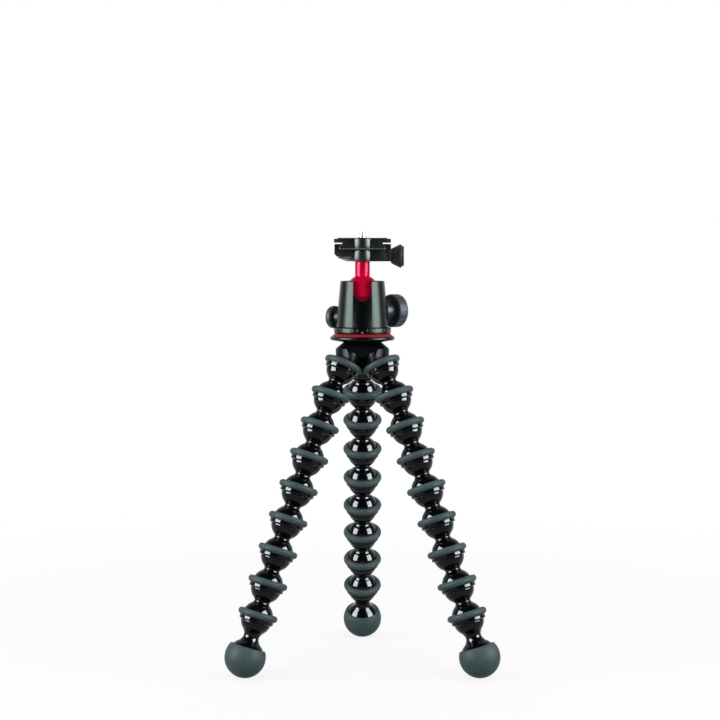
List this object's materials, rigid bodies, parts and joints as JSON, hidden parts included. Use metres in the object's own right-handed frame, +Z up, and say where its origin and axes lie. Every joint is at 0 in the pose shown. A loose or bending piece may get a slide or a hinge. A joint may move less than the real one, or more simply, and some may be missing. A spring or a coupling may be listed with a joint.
{
  "type": "flexible leg tripod",
  "caption": "Small camera tripod with bendable legs of ball-and-socket segments and rubber rings, a panning ball head with lock knobs, a dovetail clamp and a quick-release plate.",
  "frame": {"origin": "middle of the footprint on the floor, behind the upright axis of the head", "axes": "+Z up, front towards -Y, main lock knob towards +X"},
  "size_m": [0.2248, 0.199, 0.3627],
  "materials": {
    "leg_plastic": "gloss",
    "leg_rubber": "matte",
    "hub_plastic": "satin",
    "black_metal": "satin anodised",
    "red_metal": "gloss anodised",
    "red_ring": "satin anodised",
    "knob_plastic": "matte",
    "knob_rubber": "matte",
    "pad_rubber": "matte",
    "steel": "turned",
    "brass": "turned",
    "slide_plastic": "matte"
  },
  "bodies": {
    "stand": {"hub_body": "hub_plastic", "root_sockets": "leg_plastic", "root_rings": "leg_rubber", "head_stud": "steel", "base_disc": "black_metal", "base_ring": "red_ring", "degree_ring": "black_metal", "pan_spindle": "steel", "pan_washer": "slide_plastic"},
    "leg_left_1": {"leg_left_segment_1": "leg_plastic"},
    "leg_left_2": {"leg_left_segment_2": "leg_plastic"},
    "leg_left_3": {"leg_left_segment_3": "leg_plastic"},
    "leg_left_4": {"leg_left_segment_4": "leg_plastic"},
    "leg_left_5": {"leg_left_segment_5": "leg_plastic"},
    "leg_left_6": {"leg_left_segment_6": "leg_plastic"},
    "leg_left_7": {"leg_left_segment_7": "leg_plastic"},
    "leg_left_8": {"leg_left_segment_8": "leg_plastic", "foot_cap_left": "leg_rubber"},
    "leg_right_1": {"leg_right_segment_1": "leg_plastic"},
    "leg_right_2": {"leg_right_segment_2": "leg_plastic"},
    "leg_right_3": {"leg_right_segment_3": "leg_plastic"},
    "leg_right_4": {"leg_right_segment_4": "leg_plastic"},
    "leg_right_5": {"leg_right_segment_5": "leg_plastic"},
    "leg_right_6": {"leg_right_segment_6": "leg_plastic"},
    "leg_right_7": {"leg_right_segment_7": "leg_plastic"},
    "leg_right_8": {"leg_right_segment_8": "leg_plastic", "foot_cap_right": "leg_rubber"},
    "leg_rear_1": {"leg_rear_segment_1": "leg_plastic"},
    "leg_rear_2": {"leg_rear_segment_2": "leg_plastic"},
    "leg_rear_3": {"leg_rear_segment_3": "leg_plastic"},
    "leg_rear_4": {"leg_rear_segment_4": "leg_plastic"},
    "leg_rear_5": {"leg_rear_segment_5": "leg_plastic"},
    "leg_rear_6": {"leg_rear_segment_6": "leg_plastic"},
    "leg_rear_7": {"leg_rear_segment_7": "leg_plastic"},
    "leg_rear_8": {"leg_rear_segment_8": "leg_plastic", "foot_cap_rear": "leg_rubber"},
    "head": {"housing": "black_metal", "housing_floor": "black_metal", "ball_seat": "slide_plastic"},
    "lock_screw": {"main_knob_stud": "steel", "lock_plunger": "brass"},
    "main_knob": {"main_knob_core": "knob_plastic", "main_knob_grip": "knob_rubber"},
    "pan_screw": {"pan_knob_stud": "steel", "pan_brake_pad": "brass"},
    "pan_knob": {"pan_knob_core": "knob_plastic", "pan_knob_grip": "knob_rubber"},
    "ball": {"ball_stem": "red_metal"},
    "clamp": {"clamp_body": "black_metal", "stem_screw": "steel", "guide_pins": "steel"},
    "jaw": {"clamp_jaw": "black_metal"},
    "clamp_knob": {"clamp_knob": "knob_rubber", "clamp_knob_cap": "knob_plastic", "clamp_screw": "steel"},
    "plate": {"quick_plate": "black_metal", "plate_pad": "pad_rubber"},
    "camera_screw": {"camera_screw": "steel"}
  },
  "joints": [
    {"name": "leg_left_joint_1", "type": "hinge", "parent": "stand", "child": "leg_left_1", "pos_m": [-0.02689, -0.04295, 0.22673], "axis": [-0.5, 0.866, 0], "range_deg": [-30, 30]},
    {"name": "leg_left_joint_2", "type": "hinge", "parent": "leg_left_1", "child": "leg_left_2", "pos_m": [-0.03576, -0.04807, 0.20153], "axis": [-0.8047, -0.4646, 0.3697], "range_deg": [-30, 30]},
    {"name": "leg_left_joint_3", "type": "hinge", "parent": "leg_left_2", "child": "leg_left_3", "pos_m": [-0.04447, -0.0531, 0.17626], "axis": [0.5, -0.866, 0], "range_deg": [-30, 30]},
    {"name": "leg_left_joint_4", "type": "hinge", "parent": "leg_left_3", "child": "leg_left_4", "pos_m": [-0.05302, -0.05804, 0.15092], "axis": [0.809, 0.4671, -0.3567], "range_deg": [-30, 30]},
    {"name": "leg_left_joint_5", "type": "hinge", "parent": "leg_left_4", "child": "leg_left_5", "pos_m": [-0.06143, -0.06289, 0.12551], "axis": [-0.5, 0.866, 0], "range_deg": [-30, 30]},
    {"name": "leg_left_joint_6", "type": "hinge", "parent": "leg_left_5", "child": "leg_left_6", "pos_m": [-0.06968, -0.06765, 0.10003], "axis": [-0.8133, -0.4695, 0.3437], "range_deg": [-30, 30]},
    {"name": "leg_left_joint_7", "type": "hinge", "parent": "leg_left_6", "child": "leg_left_7", "pos_m": [-0.07777, -0.07233, 0.07449], "axis": [0.5, -0.866, 0], "range_deg": [-30, 30]},
    {"name": "leg_left_joint_8", "type": "hinge", "parent": "leg_left_7", "child": "leg_left_8", "pos_m": [-0.08571, -0.07691, 0.04888], "axis": [0.8174, 0.4719, -0.3305], "range_deg": [-30, 30]},
    {"name": "leg_right_joint_1", "type": "hinge", "parent": "stand", "child": "leg_right_1", "pos_m": [0.02689, -0.04295, 0.22673], "axis": [-0.5, -0.866, 0], "range_deg": [-30, 30]},
    {"name": "leg_right_joint_2", "type": "hinge", "parent": "leg_right_1", "child": "leg_right_2", "pos_m": [0.03576, -0.04807, 0.20153], "axis": [0.8047, -0.4646, 0.3697], "range_deg": [-30, 30]},
    {"name": "leg_right_joint_3", "type": "hinge", "parent": "leg_right_2", "child": "leg_right_3", "pos_m": [0.04447, -0.0531, 0.17626], "axis": [0.5, 0.866, 0], "range_deg": [-30, 30]},
    {"name": "leg_right_joint_4", "type": "hinge", "parent": "leg_right_3", "child": "leg_right_4", "pos_m": [0.05302, -0.05804, 0.15092], "axis": [-0.809, 0.4671, -0.3567], "range_deg": [-30, 30]},
    {"name": "leg_right_joint_5", "type": "hinge", "parent": "leg_right_4", "child": "leg_right_5", "pos_m": [0.06143, -0.06289, 0.12551], "axis": [-0.5, -0.866, 0], "range_deg": [-30, 30]},
    {"name": "leg_right_joint_6", "type": "hinge", "parent": "leg_right_5", "child": "leg_right_6", "pos_m": [0.06968, -0.06765, 0.10003], "axis": [0.8133, -0.4695, 0.3437], "range_deg": [-30, 30]},
    {"name": "leg_right_joint_7", "type": "hinge", "parent": "leg_right_6", "child": "leg_right_7", "pos_m": [0.07777, -0.07233, 0.07449], "axis": [0.5, 0.866, 0], "range_deg": [-30, 30]},
    {"name": "leg_right_joint_8", "type": "hinge", "parent": "leg_right_7", "child": "leg_right_8", "pos_m": [0.08571, -0.07691, 0.04888], "axis": [-0.8174, 0.4719, -0.3305], "range_deg": [-30, 30]},
    {"name": "leg_rear_joint_1", "type": "hinge", "parent": "stand", "child": "leg_rear_1", "pos_m": [0, 0.00363, 0.22673], "axis": [1, 0, 0], "range_deg": [-30, 30]},
    {"name": "leg_rear_joint_2", "type": "hinge", "parent": "leg_rear_1", "child": "leg_rear_2", "pos_m": [0, 0.01184, 0.2008], "axis": [0, 0.9489, 0.3156], "range_deg": [-30, 30]},
    {"name": "leg_rear_joint_3", "type": "hinge", "parent": "leg_rear_2", "child": "leg_rear_3", "pos_m": [0, 0.02042, 0.17499], "axis": [-1, 0, 0], "range_deg": [-30, 30]},
    {"name": "leg_rear_joint_4", "type": "hinge", "parent": "leg_rear_3", "child": "leg_rear_4", "pos_m": [0, 0.02938, 0.14931], "axis": [0, -0.9392, -0.3433], "range_deg": [-30, 30]},
    {"name": "leg_rear_joint_5", "type": "hinge", "parent": "leg_rear_4", "child": "leg_rear_5", "pos_m": [0, 0.03872, 0.12376], "axis": [1, 0, 0], "range_deg": [-30, 30]},
    {"name": "leg_rear_joint_6", "type": "hinge", "parent": "leg_rear_5", "child": "leg_rear_6", "pos_m": [0, 0.04843, 0.09835], "axis": [0, 0.9288, 0.3706], "range_deg": [-30, 30]},
    {"name": "leg_rear_joint_7", "type": "hinge", "parent": "leg_rear_6", "child": "leg_rear_7", "pos_m": [0, 0.05851, 0.07309], "axis": [-1, 0, 0], "range_deg": [-30, 30]},
    {"name": "leg_rear_joint_8", "type": "hinge", "parent": "leg_rear_7", "child": "leg_rear_8", "pos_m": [0, 0.06896, 0.04798], "axis": [0, -0.9175, -0.3977], "range_deg": [-30, 30]},
    {"name": "head_pan", "type": "hinge", "parent": "stand", "child": "head", "pos_m": [0, -0.02742, 0.27087], "axis": [0, 0, 1], "continuous": true},
    {"name": "lock_screw_slide", "type": "slide", "parent": "head", "child": "lock_screw", "axis": [0.788, 0.6157, 0], "range_m": [0, 0.00075]},
    {"name": "main_knob_turn", "type": "hinge", "parent": "lock_screw", "child": "main_knob", "pos_m": [0, -0.02742, 0.29647], "axis": [0.788, 0.6157, 0], "range_deg": [0, 270]},
    {"name": "pan_screw_slide", "type": "slide", "parent": "head", "child": "pan_screw", "axis": [-0.788, 0.6157, 0], "range_m": [0, 0.00075]},
    {"name": "pan_knob_turn", "type": "hinge", "parent": "pan_screw", "child": "pan_knob", "pos_m": [0, -0.02742, 0.29117], "axis": [-0.788, 0.6157, 0], "range_deg": [0, 270]},
    {"name": "ball_tilt", "type": "hinge", "parent": "head", "child": "ball", "pos_m": [0, -0.02742, 0.31247], "axis": [1, 0, 0], "range_deg": [-20, 90]},
    {"name": "clamp_spin", "type": "hinge", "parent": "ball", "child": "clamp", "pos_m": [0, -0.02742, 0.31247], "axis": [0, 0, 1], "continuous": true},
    {"name": "jaw_slide", "type": "slide", "parent": "clamp", "child": "jaw", "axis": [1, 0, 0], "range_m": [0, 0.003]},
    {"name": "clamp_knob_turn", "type": "hinge", "parent": "jaw", "child": "clamp_knob", "pos_m": [0, -0.02742, 0.34267], "axis": [1, 0, 0], "range_deg": [0, 1080]},
    {"name": "plate_slide", "type": "slide", "parent": "clamp", "child": "plate", "axis": [0, -1, 0], "range_m": [0, 0.06]},
    {"name": "camera_screw_turn", "type": "hinge", "parent": "plate", "child": "camera_screw", "pos_m": [0, -0.02742, 0.35687], "axis": [0, 0, 1], "continuous": true}
  ],
  "couplings": [
    {"joint": "lock_screw_slide", "follows": "main_knob_turn", "m_per_rad": 0.00015915},
    {"joint": "pan_screw_slide", "follows": "pan_knob_turn", "m_per_rad": 0.00015915},
    {"joint": "jaw_slide", "follows": "clamp_knob_turn", "m_per_rad": 0.00015915}
  ]
}
